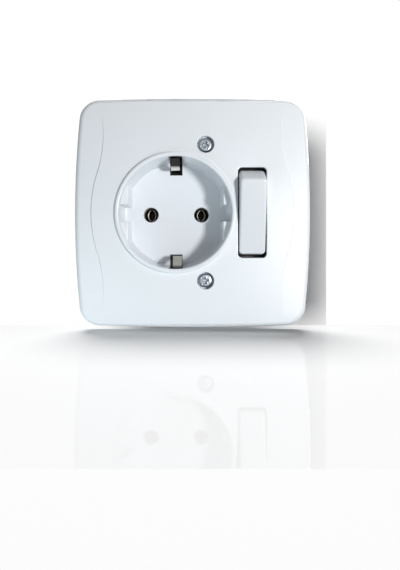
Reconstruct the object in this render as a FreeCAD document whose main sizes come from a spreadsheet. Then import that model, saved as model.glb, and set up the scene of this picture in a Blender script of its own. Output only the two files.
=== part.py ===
"""Switched socket: an earthed socket outlet and a rocker switch under one flush cover plate.

Millimetres. The origin is the middle of the cover plate on the wall plane. The wall is Y = 0, the
room lies towards -Y and the wall box towards +Y. X points right and Z up, seen from the room.
Depths in front of the wall are written as "out" values, so out = -Y.
"""

import FreeCAD, Part
import Sketcher
import math
import os
import re

Vector = FreeCAD.Vector

SIZES = {
    # Cover plate
    "plate_width": 83.0,
    "plate_height": 80.6,
    "plate_depth": 10.0,
    "plate_wall": 2.0,
    "rim_wall": 1.8,
    "side_bow_radius": 334.0,
    "end_bow_radius": 900.0,
    "plate_corner": 7.2,
    "plate_edge": 1.9,
    "rib_wall": 1.2,
    "rib_reach": 5.0,
    "rib_place": 12.0,
    # Raised middle field of the plate, between two wavy creases
    "field_rise": 0.55,
    "field_from_end": 4.3,
    "crease_from_side": 5.65,
    "waist_from_side": 10.1,
    "crease_waist_height": 28.0,
    "crease_arc": 45.0,
    "crease_slope": 38.0,
    "crease_root": 0.1,
    # Socket well
    "socket_place": -5.95,
    "well_radius": 19.75,
    "well_floor_radius": 19.3,
    "well_depth": 17.5,
    "lip_height": 1.2,
    "lip_width": 1.55,
    "lip_round": 0.65,
    "cup_wall": 1.15,
    "cup_floor": 2.0,
    "block_chord": 16.55,
    "block_below_lip": 3.75,
    "block_notch": 5.2,
    "block_draft": 1.5,
    "block_round": 0.3,
    "floor_round": 0.6,
    "earth_slot_width": 4.65,
    "earth_slot_inner": 14.9,
    "earth_slot_below_lip": 1.5,
    "pin_spacing": 19.0,
    "pin_hole": 5.6,
    "hole_round": 0.25,
    # Cover screws
    "cover_screw_place": 4.6,
    "cover_screw_from_well": 4.15,
    "counterbore": 5.95,
    "head_below_field": 1.5,
    "cover_screw_head": 5.2,
    "cover_head_height": 1.8,
    "head_round": 0.8,
    "cover_screw_thread": 3.0,
    "cover_screw_length": 11.0,
    "cross_width": 0.9,
    "cross_length": 3.0,
    "cross_depth": 1.2,
    "boss_wall": 1.4,
    # Switch window and rocker
    "switch_gap": 0.97,
    "window_width": 10.06,
    "window_height": 31.7,
    "window_corner": 1.5,
    "window_round": 0.3,
    "skirt_wall": 1.0,
    "skirt_reach": 4.5,
    "pivot_out": 4.3,
    "rocker_tilt": 12.0,
    "rocker_width": 9.2,
    "rocker_face": 26.2,
    "rocker_base": 30.6,
    "rocker_depth": 6.6,
    "face_ahead": 8.0,
    "rocker_wall": 1.0,
    "rocker_end_wall": 1.2,
    "face_wall": 1.6,
    "ridge_round": 0.8,
    "rocker_corner": 1.3,
    "hub_width": 6.4,
    "hub_radius": 2.6,
    "barrel_radius": 2.5,
    "barrel_reach": 7.0,
    "barrel_bore": 1.7,
    "bore_depth": 5.3,
    "pin_radius": 1.0,
    "ear_gap": 0.25,
    "ear_wall": 1.3,
    "ear_radius": 2.5,
    "ear_sweep_gap": 0.7,
    # Plunger and spring in the rocker
    "plunger_seat": 4.6,
    "plunger_tip": 11.2,
    "spigot_radius": 0.75,
    "spigot_length": 1.6,
    "spring_wire": 0.35,
    "spring_turns": 4.0,
    # Seesaw contact
    "seesaw_place": 8.4,
    "seesaw_ahead": 1.35,
    "seesaw_slope": 10.0,
    "seesaw_arm": 8.8,
    "seesaw_strip": 0.9,
    "seesaw_width": 5.0,
    "ridge_radius": 0.7,
    "tip_radius": 1.4,
    "tip_place": 7.3,
    "moving_tip": 0.6,
    "fixed_tip_height": 0.65,
    "closed_gap": 0.06,
    # Conducting strips and their terminals
    "strip": 0.8,
    "strip_width": 5.6,
    "riser_place": 9.4,
    "tab": 1.0,
    "tab_length": 7.2,
    "inner_tab_end": 3.0,
    "terminal_screw": 3.0,
    "terminal_head": 5.4,
    "terminal_head_height": 2.0,
    "terminal_slot": 0.8,
    "terminal_screw_share": 0.6,
    "clamp_width": 6.0,
    "clamp": 1.0,
    # Pin contacts
    "contact_wall": 0.6,
    "contact_mouth": 2.75,
    "contact_waist": 2.2,
    "contact_end": 2.55,
    "waist_depth": 4.0,
    "contact_length": 9.0,
    "leaf_gap": 2.4,
    # Earth bridge
    "earth_strip_width": 3.2,
    "earth_root": 17.6,
    "earth_crest": 16.0,
    "earth_crest_below_lip": 11.0,
    "earth_tip": 19.3,
    "earth_tip_below_lip": 2.9,
    "earth_tip_round": 1.05,
    "earth_root_bend": 1.5,
    "earth_crest_bend": 3.0,
    "bridge_skew": 1.4,
    "bridge_shift": 0.17,
    "bridge_rise": 0.3,
    "bridge_eye": 3.4,
    # Retaining disc under the cup and its screw
    "retainer": 1.8,
    "retainer_gap": 0.7,
    "retainer_hole": 3.0,
    "retainer_head": 5.0,
    "retainer_screw_thread": 2.9,
    "retainer_screw_length": 8.5,
    # Base housing
    "base_wall": 2.15,
    "base_flat_cut": 2.7,
    "base_rear_step": 1.5,
    "base_edge": 0.8,
    "base_depth": 27.0,
    "base_step_depth": 14.0,
    "cup_gap": 0.3,
    "chamber_width": 8.7,
    "chamber_height": 22.0,
    "terminal_pocket": 7.0,
    "pocket_gap": 0.4,
    "lug_start": 3.5,
    "contact_bore": 3.7,
    "contact_bore_floor": 1.4,
    "wire_channel": 3.4,
    # Support strap and its rivets
    "strap": 1.2,
    "strap_inset": 6.5,
    "strap_end_inset": 5.3,
    "strap_corner": 12.0,
    "box_screw_from_end": 5.0,
    "box_slot_width": 3.6,
    "box_slot_length": 6.4,
    "rivet_near_place": 12.5,
    "rivet_near_from_well": 2.25,
    "rivet_far_place": -14.0,
    "rivet_far_from_well": 3.65,
    "rivet_radius": 1.2,
    "rivet_head_radius": 2.0,
    "rivet_head": 0.8,
    "rivet_length": 4.5,
    # Clearances
    "running_gap": 0.05,
    "screw_gap": 0.05,
    "slide_gap": 0.15,
    # How far a cut or a pad runs on past what it must reach
    "overrun": 1.0,
}

# Sizes that follow from others
RELATIONS = {
    "field_reach": "plate_height / 2 - field_from_end",
    "crease_middle": "plate_width / 2 - crease_from_side",
    "crease_waist": "plate_width / 2 - waist_from_side",
    "cover_screw_height": "well_radius + cover_screw_from_well",
    "rivet_near_height": "well_radius + rivet_near_from_well",
    "rivet_far_height": "well_radius + rivet_far_from_well",
    "switch_place": "socket_place + well_radius + cup_wall + switch_gap + window_width / 2",
    "strap_width": "plate_width - 2 * strap_inset",
    "strap_height": "plate_height - 2 * strap_end_inset",
    "box_screw_spacing": "strap_height - 2 * box_screw_from_end",
    "base_radius": "well_radius + cup_wall + cup_gap + base_wall - socket_place",
    "base_flat": "base_radius - base_flat_cut",
    "rear_radius": "base_radius - base_rear_step",
    "contact_bore_end": "base_depth - contact_bore_floor",
}

doc = FreeCAD.newDocument("SwitchedSocket")
sheet = doc.addObject("Spreadsheet::Sheet", "Sizes")
for row, (alias, size) in enumerate(SIZES.items(), start=1):
    sheet.set(f"A{row}", alias)
    sheet.set(f"B{row}", str(size))
    sheet.setAlias(f"B{row}", alias)
doc.recompute()

FUNCTIONS = {"sqrt", "sin", "cos", "tan", "asin"}
PIECES = []
NEAR = 0.01


def formula(text):
    """An expression in which each size name points at its cell of the sheet."""

    def cell(match):
        word = match.group()
        if word in RELATIONS:
            return f"({formula(RELATIONS[word])})"
        return word if word in FUNCTIONS else "Sizes." + word

    return re.sub(r"[A-Za-z_]\w*", cell, str(text))


def value(text):
    """The number that an expression gives now."""
    return float(sheet.evalExpression(formula(text)))


def bind(thing, place, text):
    """Tie a property of an object to the sheet."""
    thing.setExpression(place, formula(text))


# Depths shared by several pieces, as out values
WING_OUT = "(plate_depth - field_rise)"
SHELL_OUT = "(plate_depth - plate_wall)"
LIP_OUT = "(plate_depth + lip_height)"
FLOOR_OUT = f"({LIP_OUT} - well_depth)"
CUP_BACK_OUT = f"({FLOOR_OUT} - cup_floor)"
RETAINER_OUT = f"({CUP_BACK_OUT} - retainer_gap)"
STRIP_OUT = f"({RETAINER_OUT} - retainer)"
BOWL_OUT = f"({STRIP_OUT} - strip)"
LUG_OUT = f"({BOWL_OUT} - strip)"
POCKET_OUT = "(terminal_pocket - base_depth)"
TAB_OUT = f"({POCKET_OUT} - tab)"
SCREW_REACH = f"(({LUG_OUT} - {POCKET_OUT}) * terminal_screw_share)"

# The closed switch: the arm lies parallel to the wall behind the seesaw's pivot
ARM_BACK = "(seesaw_place - seesaw_ahead * cos(seesaw_slope) + seesaw_strip)"
SWITCH_STRIP = f"({ARM_BACK} + moving_tip + closed_gap + fixed_tip_height)"

CUP_RADIUS = "(well_radius + cup_wall)"
BOWL_RADIUS = f"({CUP_RADIUS} + cup_gap)"
SCREW_SEAT_OUT = "(plate_depth - head_below_field - cover_head_height)"
EAR_INNER = "(hub_width / 2 + ear_gap)"
FIXED_TIP = "(seesaw_ahead * sin(seesaw_slope) + tip_place)"

# The two upper rivets, and the span of each kind of terminal tab along Z
RIVETS = (("rivet_near_place", "rivet_near_height"), ("rivet_far_place", "rivet_far_height"))
OUTER_TAB = ("riser_place", "(riser_place + tab_length)")
INNER_TAB = ("inner_tab_end", "(riser_place + strip)")

# Where each terminal stands: its X, and whether it is above (1) or below (-1) the middle
PIN_TERMINALS = (("(socket_place - pin_spacing / 2)", -1), ("(socket_place + pin_spacing / 2)", -1))
EARTH_TERMINALS = (("socket_place", 1),)
CONTACT_TERMINALS = PIN_TERMINALS + EARTH_TERMINALS
SWITCH_TERMINALS = (("switch_place", 1), ("switch_place", -1))


def back_of(out):
    """The Y of a depth that is given as an out value."""
    return f"(0 - {out})"


def new_body(name, many=False):
    """A sub-part: its label names its file."""
    body = doc.addObject("PartDesign::Body", name)
    body.Label = name
    body.AllowCompound = many
    PIECES.append(body)
    return body


def origin_plane(body, role):
    return next(f for f in body.Origin.OriginFeatures if f.Role == role)


def sketch(body, name, role, at=("0", "0", "0")):
    """A sketch on one of the body's own planes. at is right, up and ahead in the sketch's frame:
    X, Z and out on XZ_Plane; Y, Z and X on YZ_Plane; X, Y and Z on XY_Plane."""
    flat = body.newObject("Sketcher::SketchObject", name)
    flat.AttachmentSupport = [(origin_plane(body, role), "")]
    flat.MapMode = "FlatFace"
    for axis, text in zip("xyz", at):
        bind(flat, f"AttachmentOffset.Base.{axis}", text)
    return flat


def fix(flat, kind, *where):
    """A driving constraint whose value follows the sheet."""
    *places, text = where
    index = flat.addConstraint(Sketcher.Constraint(kind, *places, value(text)))
    bind(flat, f"Constraints[{index}]", text)


def place_point(flat, edge, end, x, y):
    fix(flat, "DistanceX", -1, 1, edge, end, x)
    fix(flat, "DistanceY", -1, 1, edge, end, y)


def end_at(flat, edge, spot):
    """Which end of a sketch edge lies at a point: 1 for its start, 2 for its end."""
    return min((1, 2), key=lambda end: flat.getPoint(edge, end).distanceToPoint(spot))


def arc_middle(start, stop, radius, side):
    """The middle of the short arc from start to stop that bulges to its right (1) or left (-1)."""
    chord = stop - start
    half = chord.Length / 2
    bulge = radius - math.sqrt(max(radius * radius - half * half, 0))
    across = Vector(chord.y, -chord.x, 0).normalize()
    return (start + stop) / 2 + across * bulge * side


def half_round(flat, edge, start, stop, corner):
    """Keep a half circle's centre on the line between its ends."""
    if abs(stop.x - start.x) > abs(stop.y - start.y):
        fix(flat, "DistanceY", -1, 1, edge, 3, corner[1])
    else:
        fix(flat, "DistanceX", -1, 1, edge, 3, corner[0])


def outline(flat, corners):
    """A closed outline. A corner is x, y, and for an arc to the next corner its radius and side,
    or the word half for a half circle that bulges to the right."""
    spots = [Vector(value(c[0]), value(c[1]), 0) for c in corners]
    edges = []
    for i, corner in enumerate(corners):
        start, stop = spots[i], spots[(i + 1) % len(spots)]
        if len(corner) == 4:
            middle = arc_middle(start, stop, value(corner[2]), corner[3])
            edges.append(flat.addGeometry(Part.Arc(start, middle, stop), False))
        elif len(corner) == 3:
            middle = arc_middle(start, stop, (stop - start).Length / 2, 1)
            edges.append(flat.addGeometry(Part.Arc(start, middle, stop), False))
        else:
            edges.append(flat.addGeometry(Part.LineSegment(start, stop), False))
    for i, corner in enumerate(corners):
        edge, before, spot = edges[i], edges[i - 1], spots[i]
        end = end_at(flat, edge, spot)
        flat.addConstraint(
            Sketcher.Constraint("Coincident", before, end_at(flat, before, spot), edge, end)
        )
        place_point(flat, edge, end, corner[0], corner[1])
        if len(corner) == 4:
            fix(flat, "Radius", edge, corner[2])
        elif len(corner) == 3:
            half_round(flat, edge, spot, spots[(i + 1) % len(spots)], corner)


def rectangle(flat, left, right, low, high):
    outline(flat, [(left, low), (right, low), (right, high), (left, high)])


def circle(flat, x, y, radius):
    ring = Part.Circle(Vector(value(x), value(y), 0), Vector(0, 0, 1), value(radius))
    edge = flat.addGeometry(ring, False)
    place_point(flat, edge, 3, x, y)
    fix(flat, "Radius", edge, radius)


def bent_path(flat, corners, bends):
    """An open path through corners, with an arc of its own radius at each inner one."""
    spots = [Vector(value(x), value(y), 0) for x, y in corners]
    marks = []
    for (x, y), spot in zip(corners, spots):
        mark = flat.addGeometry(Part.Point(spot), True)
        place_point(flat, mark, 1, x, y)
        marks.append(mark)
    arcs = []
    for i, bend in enumerate(bends, start=1):
        back = (spots[i - 1] - spots[i]).normalize()
        ahead = (spots[i + 1] - spots[i]).normalize()
        half = back.getAngle(ahead) / 2
        radius = value(bend)
        run = radius / math.tan(half)
        centre = spots[i] + (back + ahead).normalize() * (radius / math.sin(half))
        middle = centre + (spots[i] - centre).normalize() * radius
        start, stop = spots[i] + back * run, spots[i] + ahead * run
        arcs.append((start, middle, stop))
    starts = [spots[0]] + [arc[2] for arc in arcs]
    stops = [arc[0] for arc in arcs] + [spots[-1]]
    lines = [
        flat.addGeometry(Part.LineSegment(start, stop), False)
        for start, stop in zip(starts, stops)
    ]
    for i, (arc, bend) in enumerate(zip(arcs, bends)):
        edge = flat.addGeometry(Part.Arc(*arc), False)
        for line, end, spot in ((lines[i], 2, arc[0]), (lines[i + 1], 1, arc[2])):
            touching = Sketcher.Constraint("Tangent", line, end, edge, end_at(flat, edge, spot))
            flat.addConstraint(touching)
            flat.addConstraint(Sketcher.Constraint("PointOnObject", marks[i + 1], 1, line))
        fix(flat, "Radius", edge, bend)
    flat.addConstraint(Sketcher.Constraint("Coincident", lines[0], 1, marks[0], 1))
    flat.addConstraint(Sketcher.Constraint("Coincident", lines[-1], 2, marks[-1], 1))


def pad(body, flat, length, both_ways=False, draft=None):
    """Material from the sketch ahead by length, or half of it each way."""
    feature = body.newObject("PartDesign::Pad", flat.Name + "_pad")
    feature.Profile = flat
    bind(feature, "Length", length)
    if both_ways:
        feature.SideType = "Symmetric"
    if draft:
        bind(feature, "TaperAngle", draft)
    return feature


def pocket(body, flat, length, both_ways=False, draft=None, ahead=False):
    """A cut from the sketch back by length, or ahead, or half of it each way."""
    feature = body.newObject("PartDesign::Pocket", flat.Name + "_cut")
    feature.Profile = flat
    bind(feature, "Length", length)
    feature.Reversed = ahead
    if both_ways:
        feature.SideType = "Symmetric"
    if draft:
        bind(feature, "TaperAngle", draft)
    return feature


def turned(body, flat, kind="PartDesign::Revolution"):
    """The sketch turned about its own upright axis."""
    feature = body.newObject(kind, flat.Name + "_turned")
    feature.Profile = flat
    feature.ReferenceAxis = (flat, ["V_Axis"])
    feature.Angle = 360
    return feature


def around(body, flat, features, count):
    """Copies of features about the axis that stands on the sketch's origin."""
    pattern = body.newObject("PartDesign::PolarPattern", flat.Name + "_around")
    pattern.Originals = features
    pattern.Axis = (flat, ["N_Axis"])
    pattern.Angle = 360
    pattern.Occurrences = count
    body.Tip = pattern
    return pattern


def mirrored(body, features, role="XY_Plane"):
    """Copies of features on the far side of one of the body's planes."""
    pattern = body.newObject("PartDesign::Mirrored", body.Name + "_mirrored")
    pattern.Originals = features
    pattern.MirrorPlane = (origin_plane(body, role), [""])
    body.Tip = pattern
    return pattern


def rounded(body, base, radius, chosen):
    """Rounded edges: chosen tells of each edge whether it is one."""
    doc.recompute()
    names = [f"Edge{i}" for i, edge in enumerate(base.Shape.Edges, start=1) if chosen(edge)]
    feature = body.newObject("PartDesign::Fillet", base.Name + "_rounded")
    feature.Base = (base, names)
    bind(feature, "Radius", radius)
    return feature


def upright(edge, along="y"):
    """Whether an edge is a straight one along an axis."""
    box = edge.BoundBox
    spans = {"x": box.XLength, "y": box.YLength, "z": box.ZLength}
    length = spans.pop(along)
    return length > 0 and max(spans.values()) < NEAR


def bowed_plate(flat, inset):
    """The plate's outline: four shallow arcs that meet at its corners, drawn in by inset."""
    full_side = sag("side_bow_radius", "plate_height / 2")
    sag_end = sag("end_bow_radius", f"plate_width / 2 - {full_side}")
    sag_side = sag("side_bow_radius", f"plate_height / 2 - {sag_end}")
    x = f"(plate_width / 2 - {sag_side} - {inset})"
    z = f"(plate_height / 2 - {sag_end} - {inset})"
    outline(
        flat,
        [
            (f"0 - {x}", f"0 - {z}", "end_bow_radius", 1),
            (x, f"0 - {z}", "side_bow_radius", 1),
            (x, z, "end_bow_radius", 1),
            (f"0 - {x}", z, "side_bow_radius", 1),
        ],
    )


def sag(radius, half_chord):
    """How far the middle of a shallow arc stands out from its ends."""
    return f"({radius} - sqrt({radius} * {radius} - ({half_chord}) * ({half_chord})))"


def framed(flat, half_x, half_z, corner):
    """A rectangle about the sketch's origin with rounded corners."""
    x, z = f"({half_x} - {corner})", f"({half_z} - {corner})"
    outline(
        flat,
        [
            (f"0 - {x}", f"0 - {half_z}"),
            (x, f"0 - {half_z}", corner, 1),
            (half_x, f"0 - {z}"),
            (half_x, z, corner, 1),
            (x, half_z),
            (f"0 - {x}", half_z, corner, 1),
            (f"0 - {half_x}", z),
            (f"0 - {half_x}", f"0 - {z}", corner, 1),
        ],
    )


def cover_plate():
    """The moulded cover: a bowed plate with a rim, the socket cup, screw bosses and rocker window."""
    body = new_body("cover_plate")
    plate_shell(body)
    raised_field(body)
    stiffening_ribs(body)
    socket_cup(body)
    rocker_window(body)
    cover_screw_bosses(body)


def plate_shell(body):
    flat = sketch(body, "plate_outline", "XZ_Plane")
    bowed_plate(flat, "0")
    block = pad(body, flat, WING_OUT)
    sides = rounded(body, block, "plate_corner", upright)
    front = value(WING_OUT)
    rounded(body, sides, "plate_edge", lambda edge: abs(edge.BoundBox.YMax + front) < NEAR)
    flat = sketch(body, "plate_hollow", "XZ_Plane")
    bowed_plate(flat, "rim_wall")
    hollow = pocket(body, flat, SHELL_OUT, ahead=True)
    depth = value(SHELL_OUT)

    def inner_corner(edge):
        return upright(edge) and abs(edge.Length - depth) < NEAR

    rounded(body, hollow, "plate_corner - rim_wall", inner_corner)


def raised_field(body):
    """The middle field: crowned from top to bottom, and bounded by two wavy creases."""
    wave = "(crease_middle - crease_waist)"
    reach = f"(({wave} * {wave} + crease_waist_height * crease_waist_height) / (2 * {wave}))"
    end_arc = f"({reach} - crease_arc)"
    turn = f"(crease_waist_height / {reach})"
    turn_x = f"(crease_middle - crease_arc * (1 - sqrt(1 - {turn} * {turn})))"
    turn_z = f"(crease_arc * {turn})"
    end_z = "(field_reach + overrun)"
    past = f"({end_z} - crease_waist_height)"
    end_x = f"(crease_waist + {end_arc} - sqrt({end_arc} * {end_arc} - {past} * {past}))"
    root = f"({WING_OUT} - crease_root)"
    flat = sketch(body, "field_outline", "XZ_Plane", ("0", "0", root))
    outline(
        flat,
        [
            (end_x, f"0 - {end_z}", end_arc, -1),
            (turn_x, f"0 - {turn_z}", "crease_arc", 1),
            (turn_x, turn_z, end_arc, -1),
            (end_x, end_z),
            (f"0 - {end_x}", end_z, end_arc, -1),
            (f"0 - {turn_x}", turn_z, "crease_arc", 1),
            (f"0 - {turn_x}", f"0 - {turn_z}", end_arc, -1),
            (f"0 - {end_x}", f"0 - {end_z}"),
        ],
    )
    pad(body, flat, f"plate_depth - {root}", draft="0 - crease_slope")
    crown = "((field_reach * field_reach + field_rise * field_rise) / (2 * field_rise))"
    flat = sketch(body, "field_crown", "XY_Plane", ("0", f"{crown} - plate_depth", "0"))
    rectangle(flat, "0 - plate_width", "plate_width", f"0 - {crown} - plate_depth", f"0 - {crown}")
    cut = turned(body, flat, "PartDesign::Groove")
    cut.ReferenceAxis = (flat, ["H_Axis"])
    cut.Midplane = True
    bind(cut, "Angle", f"4 * asin(field_reach / {crown})")


def stiffening_ribs(body):
    """Thin ribs behind the plate, between its rim and the cup, skirt or bosses."""
    flat = sketch(body, "ribs", "XZ_Plane", ("0", "0", f"{SHELL_OUT} - rib_reach"))
    half = "rib_wall / 2"
    side = "(plate_width / 2 - rim_wall / 2 - " + sag("side_bow_radius", "rib_place") + ")"
    end = "(plate_height / 2 - rim_wall)"
    run = f"sqrt({CUP_RADIUS} * {CUP_RADIUS} - rib_place * rib_place)"
    skirt = "switch_place + window_width / 2 + skirt_wall / 2"
    for sign in (-1, 1):
        low = f"{sign} * rib_place - {half}"
        high = f"{sign} * rib_place + {half}"
        rectangle(flat, f"0 - {side}", f"socket_place - {run} + {half}", low, high)
        rectangle(flat, skirt, side, low, high)
        for end_sign in (-1, 1):
            ends = [f"{end_sign} * ({run} - {half})", f"{end_sign} * {end}"]
            near_end, far_end = ends if end_sign > 0 else ends[::-1]
            middle = f"socket_place + {sign} * rib_place"
            rectangle(flat, f"{middle} - {half}", f"{middle} + {half}", near_end, far_end)
    pad(body, flat, f"rib_reach + {half}")


def socket_cup(body):
    """The well, with its lip, guide blocks, earth slots and pin holes."""
    flat = sketch(body, "cup_opening", "XZ_Plane", ("socket_place", "0", LIP_OUT))
    circle(flat, "0", "0", f"({CUP_RADIUS} - cup_wall / 2)")
    pocket(body, flat, "lip_height + plate_wall + rib_reach + rib_wall")
    flat = sketch(body, "cup_wall_profile", "XY_Plane", ("socket_place", "0", "0"))
    lip, floor, back, shell = (back_of(out) for out in (LIP_OUT, FLOOR_OUT, CUP_BACK_OUT, SHELL_OUT))
    outline(
        flat,
        [
            ("0", floor),
            ("well_floor_radius", floor),
            ("well_radius", lip),
            ("well_radius + lip_width", lip),
            ("well_radius + lip_width", shell),
            (CUP_RADIUS, shell),
            (CUP_RADIUS, back),
            ("0", back),
        ],
    )
    cup = turned(body, flat)
    front = value(LIP_OUT)
    lipped = rounded(body, cup, "lip_round", lambda edge: abs(edge.BoundBox.YMax + front) < NEAR)
    floor_y = value(floor)
    across = value("2 * well_floor_radius")

    def floor_rim(edge):
        box = edge.BoundBox
        return abs(box.YMin - floor_y) < NEAR and abs(box.XLength - across) < NEAR

    rounded(body, lipped, "floor_round", floor_rim)
    guide_blocks(body)
    flat = sketch(
        body, "earth_slot", "XZ_Plane", ("socket_place", "0", f"{LIP_OUT} - earth_slot_below_lip")
    )
    half = "earth_slot_width / 2"
    rectangle(flat, f"0 - {half}", half, "earth_slot_inner", f"{CUP_RADIUS} + cup_gap / 2")
    around(body, flat, [pocket(body, flat, "well_depth + cup_floor")], 2)
    flat = sketch(body, "pin_hole_ring", "XZ_Plane", ("socket_place", "0", FLOOR_OUT))
    circle(flat, "pin_spacing / 2", "0", "pin_hole / 2")
    holes = around(body, flat, [pocket(body, flat, "cup_floor + overrun")], 2)
    width = value("pin_hole")

    def hole_rim(edge):
        box = edge.BoundBox
        return abs(box.YMin - floor_y) < NEAR and abs(box.XLength - width) < NEAR

    rounded(body, holes, "hole_round", hole_rim)


def guide_blocks(body):
    """Side blocks that stop a plug from turning, each split by a notch, wider at the floor."""
    flat = sketch(body, "guide_block", "XZ_Plane", ("socket_place", "0", FLOOR_OUT))
    rim = f"({CUP_RADIUS} - cup_wall / 2)"
    notch = "block_notch / 2"
    corner = f"sqrt({rim} * {rim} - block_notch * block_notch / 4)"
    end = f"sqrt({rim} * {rim} - block_chord * block_chord)"
    outline(flat, [("block_chord", notch), (corner, notch, rim, 1), ("block_chord", end)])
    outline(
        flat,
        [
            ("block_chord", f"0 - {end}", rim, 1),
            (corner, f"0 - {notch}"),
            ("block_chord", f"0 - {notch}"),
        ],
    )
    block = pad(body, flat, "well_depth - block_below_lip", draft="0 - block_draft")
    blocks = around(body, flat, [block], 2)
    top = value(f"block_below_lip - {LIP_OUT}")

    def top_edge(edge):
        straight = edge.Curve.TypeId == "Part::GeomLine"
        return straight and abs(edge.BoundBox.YMin - top) < NEAR

    rounded(body, blocks, "block_round", top_edge)


def rocker_window(body):
    """The window and the skirt that guides the rocker behind it."""
    half_x, half_z = "window_width / 2", "window_height / 2"
    flat = sketch(body, "window_skirt", "XZ_Plane", ("switch_place", "0", f"{SHELL_OUT} - skirt_reach"))
    framed(
        flat, f"({half_x} + skirt_wall)", f"({half_z} + skirt_wall)", "(window_corner + skirt_wall)"
    )
    pad(body, flat, "skirt_reach + skirt_wall / 2")
    flat = sketch(body, "window", "XZ_Plane", ("switch_place", "0", "plate_depth"))
    framed(flat, f"({half_x})", f"({half_z})", "window_corner")
    window = pocket(body, flat, "plate_wall + skirt_reach + skirt_wall")
    left = value("switch_place - window_width / 2") - NEAR
    right = value("switch_place + window_width / 2") + NEAR
    shell = value(back_of(SHELL_OUT))

    def window_rim(edge):
        box = edge.BoundBox
        return left < box.XMin and box.XMax < right and box.YMax < shell - NEAR

    rounded(body, window, "window_round", window_rim)


def cover_screw_bosses(body):
    at = ("cover_screw_place", "cover_screw_height")
    flat = sketch(body, "boss", "XZ_Plane", (*at, "strap"))
    circle(flat, "0", "0", "counterbore / 2 + boss_wall")
    boss = pad(body, flat, f"{SHELL_OUT} - strap + boss_wall / 2")
    flat = sketch(body, "counterbore_ring", "XZ_Plane", (*at, "plate_depth"))
    circle(flat, "0", "0", "counterbore / 2")
    seat = pocket(body, flat, "head_below_field + cover_head_height")
    flat = sketch(body, "cover_screw_hole", "XZ_Plane", (*at, "plate_depth"))
    circle(flat, "0", "0", "cover_screw_thread / 2 + slide_gap")
    hole = pocket(body, flat, "plate_depth")
    bored = mirrored(body, [boss, seat, hole])
    left = value("cover_screw_place - counterbore")
    right = value("cover_screw_place + counterbore")
    shell = value(back_of(SHELL_OUT))

    def counterbore_rim(edge):
        box = edge.BoundBox
        return left < box.XMin and box.XMax < right and box.YMax < shell - NEAR

    rounded(body, bored, "hole_round", counterbore_rim)


def cross(flat, half_long, half_wide):
    """A cross-shaped outline about the sketch's origin."""
    corners = [(half_wide, half_wide), (half_wide, half_long), (f"0 - {half_wide}", half_long)]
    loop = []
    for _ in range(4):
        loop += corners
        corners = [(f"0 - ({y})", x) for x, y in corners]
    outline(flat, loop)


def cover_screws():
    """Two pan-head screws with cross recesses, from the cover into the strap."""
    body = new_body("cover_screws", many=True)
    flat = sketch(
        body, "cover_screw_profile", "XY_Plane", ("cover_screw_place", "0", "cover_screw_height")
    )
    seat = back_of(SCREW_SEAT_OUT)
    head, thread = "cover_screw_head / 2", "cover_screw_thread / 2"
    outline(
        flat,
        [
            ("0", f"{seat} - cover_head_height"),
            (f"{head} - head_round", f"{seat} - cover_head_height", "head_round", 1),
            (head, f"{seat} - cover_head_height + head_round"),
            (head, seat),
            (thread, seat),
            (thread, f"{seat} + cover_screw_length"),
            ("0", f"{seat} + cover_screw_length"),
        ],
    )
    screw = turned(body, flat)
    at = ("cover_screw_place", "cover_screw_height", f"{SCREW_SEAT_OUT} + cover_head_height")
    flat = sketch(body, "cover_screw_cross", "XZ_Plane", at)
    cross(flat, "cross_length / 2", "cross_width / 2")
    mirrored(body, [screw, pocket(body, flat, "cross_depth")])


def support_strap():
    """The steel strap that screws to the wall box and carries the base and the cover."""
    body = new_body("support_strap")
    flat = sketch(body, "strap_outline", "XZ_Plane")
    x, z, cut = "strap_width / 2", "strap_height / 2", "strap_corner"
    loop = []
    for sign_x, sign_z in ((1, -1), (1, 1), (-1, 1), (-1, -1)):
        on_end = (f"{sign_x} * ({x} - {cut})", f"{sign_z} * {z}")
        on_side = (f"{sign_x} * {x}", f"{sign_z} * ({z} - {cut})")
        loop += [on_end, on_side] if sign_x * sign_z < 0 else [on_side, on_end]
    outline(flat, loop)
    pad(body, flat, "strap")
    flat = sketch(body, "strap_cup_opening", "XZ_Plane", ("socket_place", "0", "strap"))
    circle(flat, "0", "0", BOWL_RADIUS)
    pocket(body, flat, "strap * 2")
    flat = sketch(body, "strap_switch_opening", "XZ_Plane", ("0", "0", "strap"))
    rectangle(
        flat,
        "socket_place",
        f"switch_place + {EAR_INNER} + ear_wall + slide_gap",
        "0 - chamber_height / 2 - slide_gap",
        "chamber_height / 2 + slide_gap",
    )
    pocket(body, flat, "strap * 2")
    flat = sketch(body, "box_slot", "XZ_Plane", ("0", "box_screw_spacing / 2", "strap"))
    half, end = "box_slot_width / 2", "(box_slot_length - box_slot_width) / 2"
    outline(
        flat,
        [
            (half, f"0 - {end}"),
            (half, end, "half"),
            (f"0 - {half}", end),
            (f"0 - {half}", f"0 - {end}", "half"),
        ],
    )
    slot = pocket(body, flat, "strap * 2")
    flat = sketch(
        body, "strap_thread", "XZ_Plane", ("cover_screw_place", "cover_screw_height", "strap")
    )
    circle(flat, "0", "0", "cover_screw_thread / 2 + screw_gap")
    thread = pocket(body, flat, "strap * 2")
    holes = []
    for x, z in RIVETS:
        flat = sketch(body, "strap_rivet_hole", "XZ_Plane", (x, z, "strap"))
        circle(flat, "0", "0", "rivet_radius + screw_gap")
        holes.append(pocket(body, flat, "strap * 2"))
    mirrored(body, [slot, thread] + holes)


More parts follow.
